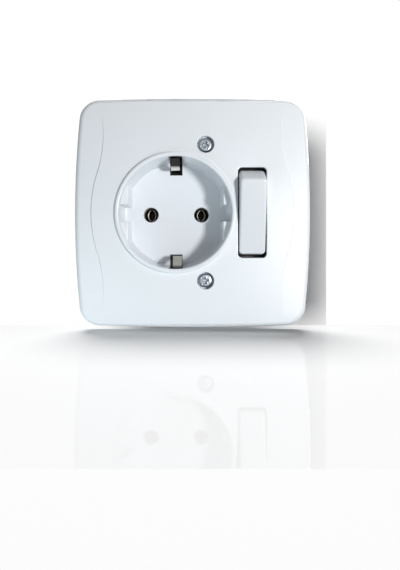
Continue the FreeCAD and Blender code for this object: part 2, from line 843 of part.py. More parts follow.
def strap_rivets():
    """Four rivets that hold the strap to the base."""
    body = new_body("strap_rivets", many=True)
    rivets = []
    for x, z in RIVETS:
        flat = sketch(body, "rivet_profile", "XY_Plane", (x, "0", z))
        outline(
            flat,
            [
                ("0", "0 - strap - rivet_head"),
                ("rivet_head_radius - rivet_head", "0 - strap - rivet_head", "rivet_head", 1),
                ("rivet_head_radius", "0 - strap"),
                ("rivet_radius", "0 - strap"),
                ("rivet_radius", "rivet_length - strap"),
                ("0", "rivet_length - strap"),
            ],
        )
        rivets.append(turned(body, flat))
    mirrored(body, rivets)


def base_housing():
    """The moulded base: a bowl for the cup, a switch chamber, contact bores and rear pockets."""
    body = new_body("base_housing")
    for name, radius, start, length in (
        ("base_front", "base_radius", "0 - base_step_depth", "base_step_depth"),
        ("base_rear", "rear_radius", "0 - base_depth", "base_depth"),
    ):
        flat = sketch(body, name, "XZ_Plane", ("0", "0", start))
        x = f"sqrt({radius} * {radius} - base_flat * base_flat)"
        z = "base_flat"
        outline(
            flat,
            [
                (x, f"0 - {z}", radius, 1),
                (x, z),
                (f"0 - {x}", z, radius, 1),
                (f"0 - {x}", f"0 - {z}"),
            ],
        )
        block = pad(body, flat, length)
    rear = value("base_depth")
    rounded(body, block, "base_edge", lambda edge: abs(edge.BoundBox.YMin - rear) < NEAR)
    flat = sketch(body, "bowl", "XZ_Plane", ("socket_place", "0", "0"))
    circle(flat, "0", "0", BOWL_RADIUS)
    pocket(body, flat, f"0 - {BOWL_OUT}")
    flat = sketch(body, "chamber", "XZ_Plane", ("switch_place", "0", "0"))
    half_x, half_z = "chamber_width / 2", "chamber_height / 2"
    rectangle(flat, f"0 - {half_x}", half_x, f"0 - {half_z}", half_z)
    pocket(body, flat, f"{SWITCH_STRIP} + strip")
    pivot_ears(body)
    contact_seats(body)
    switch_seats(body)
    flat = sketch(
        body, "cover_screw_room", "XZ_Plane", ("cover_screw_place", "cover_screw_height", "0")
    )
    circle(flat, "0", "0", "cover_screw_thread / 2 + slide_gap")
    holes = [pocket(body, flat, f"cover_screw_length - {SCREW_SEAT_OUT} + overrun")]
    for x, z in RIVETS:
        flat = sketch(body, "rivet_hole", "XZ_Plane", (x, z, "0"))
        circle(flat, "0", "0", "rivet_radius + screw_gap")
        holes.append(pocket(body, flat, "rivet_length - strap + screw_gap"))
    mirrored(body, holes)


def pivot_ears(body):
    """Two ears in front of the chamber that carry the rocker's pin."""
    for sign in (-1, 1):
        inner = f"switch_place + {sign} * ({EAR_INNER} + ear_wall / 2)"
        flat = sketch(body, "ear", "YZ_Plane", ("0", "0", inner))
        outline(
            flat,
            [
                ("0 - pivot_out", "ear_radius", "half"),
                ("0 - pivot_out", "0 - ear_radius"),
                ("pivot_out", "0 - ear_radius"),
                ("pivot_out", "ear_radius"),
            ],
        )
        pad(body, flat, "ear_wall", both_ways=True)
    flat = sketch(body, "ear_bore", "YZ_Plane", ("0", "0", "switch_place"))
    circle(flat, "0 - pivot_out", "0", "pin_radius + running_gap / 2")
    pocket(body, flat, f"2 * ({EAR_INNER} + ear_wall + overrun)", both_ways=True)


def contact_seats(body):
    """Bores, riser slots and rear pockets for the two pin contacts and the earth terminal."""
    flat = sketch(body, "contact_bores", "XZ_Plane", ("socket_place", "0", BOWL_OUT))
    for sign in (-1, 1):
        circle(flat, f"{sign} * pin_spacing / 2", "0", "contact_bore")
    pocket(body, flat, f"contact_bore_end + {BOWL_OUT}")
    flat = sketch(body, "earth_groove", "XZ_Plane", ("socket_place", "0", BOWL_OUT))
    half = "(strip_width / 2 + slide_gap)"
    rectangle(flat, f"0 - {half}", half, f"0 - lug_start - slide_gap", "riser_place + strip + slide_gap")
    pocket(body, flat, "strip")
    for x, sign in CONTACT_TERMINALS:
        terminal_seat(body, x, sign, OUTER_TAB, BOWL_OUT)
    flat = sketch(body, "retainer_screw_hole", "XZ_Plane", ("socket_place", "0", LUG_OUT))
    circle(flat, "0", "0", "retainer_screw_thread / 2 + screw_gap")
    pocket(body, flat, "retainer_screw_length - retainer - strip")


def switch_seats(body):
    for sign in (-1, 1):
        terminal_seat(body, "switch_place", sign, INNER_TAB, f"(0 - {SWITCH_STRIP} - strip)")


def terminal_seat(body, x, sign, tab_span, front_out):
    """A slot for the strip's riser, a pocket for its tab, a blind screw hole and a wire channel."""
    half = "(clamp_width / 2 + pocket_gap)"
    low, high = tab_span
    pocket_low, pocket_high = sorted_by(sign, f"{low} - slide_gap", f"{high} + slide_gap")
    flat = sketch(body, "rear_pocket", "XZ_Plane", (x, "0", "0 - base_depth"))
    rectangle(flat, f"0 - {half}", half, pocket_low, pocket_high)
    pocket(body, flat, "terminal_pocket", ahead=True)
    slot_low, slot_high = sorted_by(
        sign, "riser_place - slide_gap", "riser_place + strip + slide_gap"
    )
    flat = sketch(body, "riser_slot", "XZ_Plane", (x, "0", front_out))
    half_slot = "(strip_width / 2 + slide_gap)"
    rectangle(flat, f"0 - {half_slot}", half_slot, slot_low, slot_high)
    pocket(body, flat, f"base_depth - terminal_pocket + {front_out}")
    middle = f"{sign} * ({low} + {high}) / 2"
    flat = sketch(body, "terminal_hole", "XZ_Plane", (x, middle, POCKET_OUT))
    circle(flat, "0", "0", "terminal_screw / 2 + screw_gap")
    pocket(body, flat, f"{SCREW_REACH} + strip / 2", ahead=True)
    wire_channel(body, x, sign, middle, tab_span)


def wire_channel(body, x, sign, middle, tab_span):
    """The way in for a wire: up or down from an outer tab, and sideways from an inner one."""
    half = "wire_channel / 2"
    flat = sketch(body, "wire_way", "XZ_Plane", (x, "0", "0 - base_depth"))
    if tab_span is OUTER_TAB:
        low, high = sorted_by(sign, tab_span[1], "base_flat + overrun")
        rectangle(flat, f"0 - {half}", half, low, high)
    else:
        rectangle(flat, "clamp_width / 2", "base_radius", f"{middle} - {half}", f"{middle} + {half}")
    pocket(body, flat, "terminal_pocket - tab", ahead=True)


def sorted_by(sign, near_text, far_text):
    """A span along Z, low end first, for the upper side (1) or the lower side (-1)."""
    if sign > 0:
        return near_text, far_text
    return f"0 - ({far_text})", f"0 - ({near_text})"


def tab_hole(body, x, sign, tab_span):
    flat = sketch(
        body, "tab_hole", "XZ_Plane", (x, f"{sign} * ({tab_span[0]} + {tab_span[1]}) / 2", POCKET_OUT)
    )
    circle(flat, "0", "0", "terminal_screw / 2 + screw_gap")
    pocket(body, flat, "tab * 2")


def outward_strip(body, x, sign, front, start):
    """A strip that runs out from start, back through the base and on to a tab at the rear."""
    flat = sketch(body, "strip_profile", "YZ_Plane", ("0", "0", x))
    riser, outer = f"{sign} * riser_place", f"{sign} * (riser_place + strip)"
    tab_end = f"{sign} * {OUTER_TAB[1]}"
    begin = f"0 - {sign} * {start}"
    outline(
        flat,
        [
            (front, begin),
            (f"{front} + strip", begin),
            (f"{front} + strip", riser),
            (back_of(TAB_OUT), riser),
            (back_of(TAB_OUT), tab_end),
            (back_of(POCKET_OUT), tab_end),
            (back_of(POCKET_OUT), outer),
            (front, outer),
        ],
    )
    pad(body, flat, "strip_width", both_ways=True)


def pin_contact(name, side):
    """A strip with two curved leaves that grip a plug's pin, bent round to its terminal."""
    body = new_body(name)
    x = f"(socket_place + {side} * pin_spacing / 2)"
    outward_strip(body, x, -1, back_of(STRIP_OUT), "0")
    flat = sketch(body, "eye", "XZ_Plane", (x, "0", BOWL_OUT))
    circle(flat, "0", "0", "contact_mouth + contact_wall * 2")
    pad(body, flat, "strip")
    flat = sketch(body, "eye_hole", "XZ_Plane", (x, "0", STRIP_OUT))
    circle(flat, "0", "0", "contact_mouth")
    pocket(body, flat, "strip * 2")
    flat = sketch(body, "leaf_profile", "XY_Plane", (x, back_of(BOWL_OUT), "0"))
    outline(
        flat,
        [
            ("contact_mouth", "0 - strip / 2"),
            ("contact_mouth + contact_wall", "0 - strip / 2"),
            ("contact_mouth + contact_wall", "0"),
            ("contact_waist + contact_wall", "waist_depth"),
            ("contact_end + contact_wall", "contact_length"),
            ("contact_end", "contact_length"),
            ("contact_waist", "waist_depth"),
        ],
    )
    turned(body, flat)
    flat = sketch(body, "leaf_gap_outline", "XZ_Plane", (x, "0", BOWL_OUT))
    reach = "(contact_mouth + contact_wall * 2)"
    rectangle(flat, "0 - leaf_gap / 2", "leaf_gap / 2", f"0 - {reach}", reach)
    pocket(body, flat, "contact_length * 2")
    tab_hole(body, x, -1, OUTER_TAB)


def earth_terminal():
    """The strip under the earth bridge that leads to the earth terminal."""
    body = new_body("earth_terminal")
    outward_strip(body, "socket_place", 1, back_of(BOWL_OUT), "lug_start")
    flat = sketch(body, "lug_hole", "XZ_Plane", ("socket_place", "0", BOWL_OUT))
    circle(flat, "0", "0", "retainer_screw_thread / 2 + slide_gap")
    pocket(body, flat, "strip * 2")
    tab_hole(body, "socket_place", 1, OUTER_TAB)


def earth_bridge():
    """One springy strip whose two ends rise through the cup as the earth prongs."""
    body = new_body("earth_bridge")
    flat = sketch(body, "bridge_section", "XY_Plane")
    half = "earth_strip_width / 2"
    rectangle(flat, f"0 - {half}", half, back_of(STRIP_OUT), f"{back_of(STRIP_OUT)} + strip")
    path = sketch(body, "prong_path", "YZ_Plane")
    middle = f"{back_of(STRIP_OUT)} + strip / 2"
    bent_path(
        path,
        [
            (middle, "0"),
            (middle, "earth_root"),
            (f"earth_crest_below_lip - {LIP_OUT}", "earth_crest"),
            (f"earth_tip_below_lip - {LIP_OUT}", "earth_tip"),
        ],
        ["earth_root_bend", "earth_crest_bend"],
    )
    prong = body.newObject("PartDesign::AdditivePipe", "prong")
    prong.Profile = flat
    prong.Spine = (path, [])
    doc.recompute()
    tip = value(f"earth_tip_below_lip - {LIP_OUT} + strip")
    thick = value("strip * 1.5")

    def tip_side(edge):
        box = edge.BoundBox
        across = box.YLength + box.ZLength
        return box.YMin < tip and across < thick and box.XLength < NEAR

    rounded(body, prong, "earth_tip_round", tip_side)
    pattern = body.newObject("PartDesign::Mirrored", "other_prong")
    pattern.TransformMode = "Whole shape"
    pattern.MirrorPlane = (origin_plane(body, "XY_Plane"), [""])
    body.Tip = pattern
    flat = sketch(body, "bridge_eye_outline", "XZ_Plane", ("0", "0", BOWL_OUT))
    circle(flat, "0", "0", "bridge_eye")
    pad(body, flat, "strip")
    flat = sketch(body, "bridge_hole", "XZ_Plane", ("0", "0", STRIP_OUT))
    circle(flat, "0", "0", "retainer_screw_thread / 2 + slide_gap + bridge_rise")
    pocket(body, flat, "strip * 2")
    body.Placement = FreeCAD.Placement(Vector(), FreeCAD.Rotation(Vector(0, 1, 0), -1))
    bind(body, "Placement.Rotation.Angle", "0 - bridge_skew")
    bind(body, "Placement.Base.x", "socket_place + bridge_shift")
    bind(body, "Placement.Base.z", "bridge_rise")


def countersunk(flat, gap, length):
    """Half the section of a countersunk screw, or of its seat with a gap all round."""
    front = back_of(RETAINER_OUT)
    head, thread = f"(retainer_head / 2 + {gap})", f"(retainer_screw_thread / 2 + {gap})"
    outline(
        flat,
        [
            ("0", front),
            (head, front),
            (thread, f"{front} + {head} - {thread}"),
            (thread, f"{front} + {length}"),
            ("0", f"{front} + {length}"),
        ],
    )


def contact_retainer():
    """The insulating disc that holds the contacts down in the bowl."""
    body = new_body("contact_retainer")
    flat = sketch(body, "retainer_disc", "XZ_Plane", ("socket_place", "0", STRIP_OUT))
    circle(flat, "0", "0", f"({BOWL_RADIUS} - slide_gap)")
    pad(body, flat, "retainer")
    flat = sketch(body, "retainer_holes", "XZ_Plane", ("socket_place", "0", RETAINER_OUT))
    circle(flat, "pin_spacing / 2", "0", "retainer_hole")
    hole = pocket(body, flat, "retainer * 2")
    prong = sketch(body, "retainer_slots", "XZ_Plane", ("socket_place", "0", RETAINER_OUT))
    half = "earth_slot_width / 2"
    inner = "earth_root - earth_root_bend - bridge_rise - slide_gap * 2"
    rectangle(prong, f"0 - {half}", half, inner, "earth_root + strip * 2")
    slot = pocket(body, prong, "retainer * 2")
    around(body, flat, [hole, slot], 2)
    flat = sketch(body, "retainer_seat", "XY_Plane", ("socket_place", "0", "0"))
    countersunk(flat, "screw_gap", "retainer * 2")
    turned(body, flat, "PartDesign::Groove")


def retainer_screw():
    """The countersunk screw that holds the disc and the earth bridge to the base."""
    body = new_body("retainer_screw")
    flat = sketch(body, "retainer_screw_profile", "XY_Plane", ("socket_place", "0", "0"))
    countersunk(flat, "0", "retainer_screw_length")
    turned(body, flat)
    flat = sketch(body, "retainer_screw_cross", "XZ_Plane", ("socket_place", "0", RETAINER_OUT))
    cross(flat, "retainer_head / 4", "cross_width / 2")
    pocket(body, flat, "cross_depth / 2")


def terminal_screws(name, sites, tab_span):
    """Slotted screws, each through its clamp plate and tab into the base."""
    body = new_body(name, many=True)
    head_front = f"({back_of(TAB_OUT)} + clamp)"
    for x, sign in sites:
        middle = f"{sign} * ({tab_span[0]} + {tab_span[1]}) / 2"
        flat = sketch(body, "terminal_screw_profile", "XY_Plane", (x, "0", middle))
        outline(
            flat,
            [
                ("0", f"{back_of(POCKET_OUT)} - {SCREW_REACH}"),
                ("terminal_screw / 2", f"{back_of(POCKET_OUT)} - {SCREW_REACH}"),
                ("terminal_screw / 2", head_front),
                ("terminal_head / 2", head_front),
                ("terminal_head / 2", f"{head_front} + terminal_head_height"),
                ("0", f"{head_front} + terminal_head_height"),
            ],
        )
        turned(body, flat)
        slot_out = f"0 - {head_front} - terminal_head_height"
        flat = sketch(body, "terminal_screw_slot", "XZ_Plane", (x, middle, slot_out))
        half = "terminal_slot / 2"
        rectangle(flat, "0 - terminal_head", "terminal_head", f"0 - {half}", half)
        pocket(body, flat, "terminal_head_height / 2", ahead=True)


def clamp_plates(name, sites, tab_span):
    """Square washers that press the wires onto the tabs."""
    body = new_body(name, many=True)
    for x, sign in sites:
        middle = f"{sign} * ({tab_span[0]} + {tab_span[1]}) / 2"
        flat = sketch(body, "clamp_outline", "XZ_Plane", (x, middle, f"{TAB_OUT} - clamp"))
        framed(flat, "(clamp_width / 2)", "(clamp_width / 2)", "clamp")
        circle(flat, "0", "0", "terminal_screw / 2 + slide_gap")
        pad(body, flat, "clamp")


def feed_terminal():
    """The strip on the chamber floor whose rounded ridge carries the seesaw contact."""
    body = new_body("feed_terminal")
    flat = sketch(body, "feed_profile", "YZ_Plane", ("0", "0", "switch_place"))
    floor = f"({SWITCH_STRIP} + strip)"
    outer = "riser_place + strip"
    outline(
        flat,
        [
            ("seesaw_place", "ridge_radius", "half"),
            ("seesaw_place", "0 - ridge_radius"),
            (floor, "0 - ridge_radius"),
            (floor, "riser_place"),
            (back_of(POCKET_OUT), "riser_place"),
            (back_of(POCKET_OUT), "inner_tab_end"),
            (back_of(TAB_OUT), "inner_tab_end"),
            (back_of(TAB_OUT), outer),
            (SWITCH_STRIP, outer),
            (SWITCH_STRIP, "ridge_radius"),
        ],
    )
    pad(body, flat, "strip_width", both_ways=True)
    tab_hole(body, "switch_place", 1, INNER_TAB)


def fixed_contact():
    """The strip on the chamber floor that the seesaw closes on."""
    body = new_body("fixed_contact")
    flat = sketch(body, "fixed_profile", "YZ_Plane", ("0", "0", "switch_place"))
    floor = f"({SWITCH_STRIP} + strip)"
    begin = f"0 - ({FIXED_TIP} - tip_radius - strip)"
    outer = "0 - riser_place - strip"
    outline(
        flat,
        [
            (SWITCH_STRIP, begin),
            (floor, begin),
            (floor, "0 - riser_place"),
            (back_of(POCKET_OUT), "0 - riser_place"),
            (back_of(POCKET_OUT), "0 - inner_tab_end"),
            (back_of(TAB_OUT), "0 - inner_tab_end"),
            (back_of(TAB_OUT), outer),
            (SWITCH_STRIP, outer),
        ],
    )
    pad(body, flat, "strip_width", both_ways=True)
    tab_hole(body, "switch_place", -1, INNER_TAB)


def contact_tip(name, height):
    """A silver button that stands on the XZ plane of its own frame."""
    body = new_body(name)
    flat = sketch(body, "button", "XZ_Plane", ("0", "0", f"0 - {height}"))
    circle(flat, "0", "0", "tip_radius")
    pad(body, flat, height)
    return body


def contact_tips():
    fixed = contact_tip("fixed_contact_tip", "fixed_tip_height")
    bind(fixed, "Placement.Base.x", "switch_place")
    bind(fixed, "Placement.Base.y", f"{SWITCH_STRIP} - fixed_tip_height")
    bind(fixed, "Placement.Base.z", f"0 - {FIXED_TIP}")
    moving = contact_tip("moving_contact_tip", "moving_tip")
    tilt = "(2 * seesaw_slope)"
    moving.Placement = FreeCAD.Placement(Vector(), FreeCAD.Rotation(Vector(1, 0, 0), -1))
    bind(moving, "Placement.Rotation.Angle", f"0 - {tilt}")
    bind(moving, "Placement.Base.x", "switch_place")
    bind(
        moving,
        "Placement.Base.y",
        f"seesaw_place - seesaw_ahead * cos(seesaw_slope)"
        f" - tip_place * sin{tilt} + seesaw_strip * cos{tilt}",
    )
    bind(
        moving,
        "Placement.Base.z",
        f"seesaw_ahead * sin(seesaw_slope) - tip_place * cos{tilt} - seesaw_strip * sin{tilt}",
    )


def moving_contact():
    """The V-shaped seesaw, tilted back at its top as the rocker's rest position holds it."""
    body = new_body("moving_contact")
    flat = sketch(body, "seesaw_profile", "YZ_Plane")
    end_y = "(0 - seesaw_ahead - seesaw_arm * sin(seesaw_slope))"
    end_z = "(seesaw_arm * cos(seesaw_slope))"
    back_y = f"({end_y} + seesaw_strip * cos(seesaw_slope))"
    back_z = f"({end_z} + seesaw_strip * sin(seesaw_slope))"
    outline(
        flat,
        [
            ("0 - seesaw_ahead", "0"),
            (end_y, f"0 - {end_z}"),
            (back_y, f"0 - {back_z}"),
            ("seesaw_strip / cos(seesaw_slope) - seesaw_ahead", "0"),
            (back_y, back_z),
            (end_y, end_z),
        ],
    )
    pad(body, flat, "seesaw_width", both_ways=True)
    flat = sketch(body, "seesaw_groove", "YZ_Plane")
    circle(flat, "0", "0", "ridge_radius + running_gap")
    pocket(body, flat, "seesaw_width * 2", both_ways=True)
    body.Placement = FreeCAD.Placement(Vector(), FreeCAD.Rotation(Vector(1, 0, 0), -1))
    bind(body, "Placement.Rotation.Angle", "0 - seesaw_slope")
    bind(body, "Placement.Base.x", "switch_place")
    bind(body, "Placement.Base.y", "seesaw_place")


def set_on_rocker(piece, turn="rocker_tilt"):
    """Tilt a piece that was built about the rocker's pivot, and move it there."""
    piece.Placement = FreeCAD.Placement(Vector(), FreeCAD.Rotation(Vector(1, 0, 0), 1))
    bind(piece, "Placement.Rotation.Angle", turn)
    bind(piece, "Placement.Base.x", "switch_place")
    bind(piece, "Placement.Base.y", "0 - pivot_out")


def rocker():
    """The rocker: a hollow wedge-ended key with a hub on the pin and a barrel behind it."""
    body = new_body("rocker")
    flat = sketch(body, "rocker_side", "YZ_Plane")
    face, back = "(0 - face_ahead)", "(rocker_depth - face_ahead)"
    top, foot = "(rocker_face / 2)", "(rocker_base / 2)"
    outline(flat, [(face, f"0 - {top}"), (back, f"0 - {foot}"), (back, foot), (face, top)])
    key = pad(body, flat, "rocker_width", both_ways=True)
    deep = value("rocker_depth") - NEAR
    sides = rounded(body, key, "rocker_corner", lambda edge: edge.BoundBox.YLength > deep)
    front = value("face_ahead")
    rounded(body, sides, "ridge_round", lambda edge: abs(edge.BoundBox.YMax + front) < NEAR)
    flat = sketch(body, "rocker_hollow", "YZ_Plane")
    slant = "(rocker_base / 2 - rocker_face / 2) * face_wall / rocker_depth"
    inner_top = f"({top} + {slant} - rocker_end_wall)"
    inner_foot = f"({foot} - rocker_end_wall)"
    inside = f"({face} + face_wall)"
    outline(
        flat,
        [
            (inside, f"0 - {inner_top}"),
            (back, f"0 - {inner_foot}"),
            (back, inner_foot),
            (inside, inner_top),
        ],
    )
    pocket(body, flat, "rocker_width - rocker_wall * 2", both_ways=True)
    flat = sketch(body, "ear_sweep", "YZ_Plane")
    circle(flat, "0", "0", "ear_radius + ear_sweep_gap")
    pocket(body, flat, "rocker_width * 2", both_ways=True)
    flat = sketch(body, "hub", "YZ_Plane")
    outline(
        flat,
        [
            ("0", "0 - hub_radius", "half"),
            ("0", "hub_radius"),
            (f"{inside} - face_wall / 2", "hub_radius"),
            (f"{inside} - face_wall / 2", "0 - hub_radius"),
        ],
    )
    pad(body, flat, "hub_width", both_ways=True)
    flat = sketch(body, "barrel", "XZ_Plane", ("0", "0", "0 - barrel_reach"))
    circle(flat, "0", "0", "barrel_radius")
    pad(body, flat, "barrel_reach")
    flat = sketch(body, "barrel_bore_ring", "XZ_Plane", ("0", "0", "0 - barrel_reach"))
    circle(flat, "0", "0", "barrel_bore")
    pocket(body, flat, "bore_depth", ahead=True)
    flat = sketch(body, "rocker_pin_bore", "YZ_Plane")
    circle(flat, "0", "0", "pin_radius + running_gap")
    pocket(body, flat, "rocker_width * 2", both_ways=True)
    set_on_rocker(body)


def rocker_pin():
    """The steel pin through the rocker's hub, held in the base's ears."""
    pin = doc.addObject("Part::Cylinder", "rocker_pin")
    pin.Label = "rocker_pin"
    bind(pin, "Radius", "pin_radius")
    bind(pin, "Height", f"2 * ({EAR_INNER} + ear_wall)")
    pin.Placement = FreeCAD.Placement(Vector(), FreeCAD.Rotation(Vector(0, 1, 0), 90))
    bind(pin, "Placement.Base.x", f"switch_place - {EAR_INNER} - ear_wall")
    bind(pin, "Placement.Base.y", "0 - pivot_out")
    PIECES.append(pin)


def rocker_plunger():
    """The plunger that slides in the barrel and presses on the seesaw."""
    body = new_body("rocker_plunger")
    flat = sketch(body, "plunger_profile", "XY_Plane")
    radius = "(barrel_bore - running_gap)"
    outline(
        flat,
        [
            ("0", "plunger_seat - spigot_length"),
            ("spigot_radius", "plunger_seat - spigot_length"),
            ("spigot_radius", "plunger_seat"),
            (radius, "plunger_seat"),
            (radius, f"plunger_tip - {radius}", radius, 1),
            ("0", "plunger_tip"),
        ],
    )
    turned(body, flat)
    set_on_rocker(body)


def plunger_spring():
    """The small compression spring between the rocker and its plunger."""
    bottom = "(barrel_reach - bore_depth + spring_wire / 2)"
    height = f"(plunger_seat - spring_wire / 2 - {bottom})"
    coil = "((barrel_bore + spigot_radius) / 2)"
    helix = doc.addObject("Part::Helix", "spring_path")
    bind(helix, "Height", height)
    bind(helix, "Pitch", f"{height} / spring_turns")
    bind(helix, "Radius", coil)
    wire = doc.addObject("Part::Circle", "spring_wire_section")
    bind(wire, "Radius", "spring_wire / 2")
    wire.Placement = FreeCAD.Placement(Vector(), FreeCAD.Rotation(Vector(1, 0, 0), 90))
    bind(wire, "Placement.Base.x", coil)
    spring = doc.addObject("Part::Sweep", "plunger_spring")
    spring.Label = "plunger_spring"
    spring.Sections = [wire]
    spring.Spine = (helix, [])
    spring.Solid = True
    spring.Frenet = True
    set_on_rocker(spring, "rocker_tilt - 90")
    bind(spring, "Placement.Base.y", f"{bottom} * cos(rocker_tilt) - pivot_out")
    bind(spring, "Placement.Base.z", f"{bottom} * sin(rocker_tilt)")
    PIECES.append(spring)


def check_document():
    """Stop if any object failed or any piece has no sound shape."""
    for thing in doc.Objects:
        bad = {"Invalid", "Error"} & set(thing.State)
        if bad:
            raise RuntimeError(f"{thing.Name} is {sorted(bad)}")
    for piece in PIECES:
        if piece.Shape.isNull() or not piece.Shape.isValid() or not piece.Shape.Solids:
            raise RuntimeError(f"{piece.Label} has no sound shape")


def write_pieces():
    os.makedirs("parts", exist_ok=True)
    for piece in PIECES:
        piece.Shape.exportStep(f"parts/{piece.Label}.step")
        box = piece.Shape.BoundBox
        print(f"{piece.Label}: {len(piece.Shape.Solids)} solids, {piece.Shape.Volume:.1f} mm3,", box)


cover_plate()
cover_screws()
support_strap()
strap_rivets()
base_housing()
contact_retainer()
retainer_screw()
pin_contact("neutral_contact", -1)
pin_contact("live_contact", 1)
earth_bridge()
earth_terminal()
terminal_screws("pin_terminal_screws", PIN_TERMINALS, OUTER_TAB)
clamp_plates("pin_clamp_plates", PIN_TERMINALS, OUTER_TAB)
terminal_screws("earth_terminal_screw", EARTH_TERMINALS, OUTER_TAB)
clamp_plates("earth_clamp_plate", EARTH_TERMINALS, OUTER_TAB)
feed_terminal()
fixed_contact()
terminal_screws("switch_terminal_screws", SWITCH_TERMINALS, INNER_TAB)
clamp_plates("switch_clamp_plates", SWITCH_TERMINALS, INNER_TAB)
contact_tips()
moving_contact()
rocker()
rocker_pin()
rocker_plunger()
plunger_spring()
doc.recompute()
check_document()
write_pieces()
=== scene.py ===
"""Looks of the switched socket: a flush, earthed outlet with a rocker switch beside it."""

import math

import bmesh
import bpy
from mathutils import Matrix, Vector


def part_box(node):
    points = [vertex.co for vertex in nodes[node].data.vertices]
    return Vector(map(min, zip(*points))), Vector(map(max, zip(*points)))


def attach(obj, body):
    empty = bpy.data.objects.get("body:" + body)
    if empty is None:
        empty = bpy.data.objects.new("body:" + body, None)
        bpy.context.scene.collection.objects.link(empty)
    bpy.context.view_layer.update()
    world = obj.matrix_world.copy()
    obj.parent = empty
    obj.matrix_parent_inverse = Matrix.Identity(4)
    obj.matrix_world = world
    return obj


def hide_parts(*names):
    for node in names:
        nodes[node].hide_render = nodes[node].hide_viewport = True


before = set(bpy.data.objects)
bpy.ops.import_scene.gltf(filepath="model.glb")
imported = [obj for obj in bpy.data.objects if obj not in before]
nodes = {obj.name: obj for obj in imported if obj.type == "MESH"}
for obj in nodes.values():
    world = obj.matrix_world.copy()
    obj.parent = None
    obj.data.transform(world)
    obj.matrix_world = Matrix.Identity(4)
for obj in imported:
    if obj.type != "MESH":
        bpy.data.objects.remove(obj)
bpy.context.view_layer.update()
bpy.ops.object.select_all(action="DESELECT")

# The camera stands 200 mm in front of the socket's lip, a little below the middle of the plate.
# The photograph shows the plate straight on, so the frame is shifted and the camera isn't turned.
focal_pixels = 576.0
photo_pixels = 570.0
sensor = 36.0
camera_place = (-0.00187, -0.2112, -0.012)
shift_right = 0.0226
shift_up = -0.067
nearest_seen = 0.01
bpy.ops.object.camera_add(location=camera_place, rotation=(math.pi / 2, 0, 0))
camera = bpy.context.object
camera.name = "camera"
camera.data.sensor_width = sensor
camera.data.lens = sensor * focal_pixels / photo_pixels
camera.data.shift_x = shift_right
camera.data.shift_y = shift_up
camera.data.clip_start = nearest_seen
bpy.context.scene.camera = camera
bpy.context.scene.view_settings.view_transform = "Standard"


# The room: a white polished shelf just below the plate, and a white board behind the socket.
# Each has a soft sun of its own. The shadow on the board falls to the right, and the one on the
# shelf towards the camera.
class Signal:
    """A node's output, with arithmetic that adds Math nodes."""

    def __init__(self, owner, socket):
        self.owner = owner
        self.socket = socket

    def math(self, operation, first, second):
        inputs = {0: first, 1: second}
        return self.owner.node("ShaderNodeMath", {"operation": operation}, inputs)

    def __add__(self, other):
        return self.math("ADD", self, other)

    __radd__ = __add__

    def __mul__(self, other):
        return self.math("MULTIPLY", self, other)

    __rmul__ = __mul__


class Shading:
    """The nodes of a material or of the world, with one method that adds any of them."""

    def __init__(self, thing):
        thing.use_nodes = True
        self.tree = thing.node_tree

    def node(self, kind, settings=None, inputs=None, output=0):
        made = self.tree.nodes.new(kind)
        for name, value in (settings or {}).items():
            setattr(made, name, value)
        for place, value in (inputs or {}).items():
            self.feed(made.inputs[place], value)
        return Signal(self, made.outputs[output])

    def feed(self, socket, value):
        if isinstance(value, Signal):
            self.tree.links.new(value.socket, socket)
        else:
            socket.default_value = value

    def fade(self, value, start, end, first, last):
        """A number that goes from first to last while a value goes from start to end."""
        limits = {"From Min": start, "From Max": end, "To Min": first, "To Max": last}
        return self.node("ShaderNodeMapRange", inputs={0: value, **limits})

    def looked_at(self):
        """One for what the camera sees, straight or in a mirror, and nought for other light."""
        direct = self.node("ShaderNodeLightPath", output="Is Camera Ray")
        mirrored = self.node("ShaderNodeLightPath", output="Is Glossy Ray")
        return direct + mirrored


class Finish(Shading):
    """A material: what a surface of the socket or of the room looks like."""

    def __init__(self, name):
        self.material = bpy.data.materials.new(name)
        super().__init__(self.material)
        self.shader = self.tree.nodes["Principled BSDF"]
        self.result = self.tree.nodes["Material Output"]

    def place(self, axis):
        """How far along an axis of the object, in metres."""
        spot = self.node("ShaderNodeTexCoord", output="Object")
        return self.node("ShaderNodeSeparateXYZ", inputs={0: spot}, output=axis)

    def blend(self, share, first, second):
        """A colour between two colours."""
        inputs = {0: share, 6: first, 7: second}
        return self.node("ShaderNodeMix", {"data_type": "RGBA"}, inputs, output=2)

    def paint(self, tone):
        """Give the surface its colour, and keep it for a layer that goes over it."""
        self.tone = tone
        self.feed(self.shader.inputs["Base Color"], tone)


dim_white = (0.13, 0.13, 0.13, 1.0)
lit_white = (0.9, 0.9, 0.9, 1.0)


def white_stage(name, glow):
    """White that keeps soft shadows. It is dimmer to the light that it throws on the socket."""
    finish = Finish(name)
    finish.tree.nodes.remove(finish.shader)
    dim = finish.node("ShaderNodeBsdfDiffuse", inputs={"Color": dim_white})
    lit = finish.node("ShaderNodeBsdfDiffuse", inputs={"Color": lit_white})
    own = finish.node("ShaderNodeEmission", inputs={"Strength": glow})
    bright = finish.node("ShaderNodeAddShader", inputs={0: lit, 1: own})
    shares = {0: finish.looked_at(), 1: dim, 2: bright}
    return finish, finish.node("ShaderNodeMixShader", inputs=shares)


shelf_level = -0.042
shelf_back = 0.009
shelf_depth = 1.5
shelf_glow = 0.14
polish_end = -0.134
polish_fade = 0.001
polish = 0.13
polish_blur = 0.02

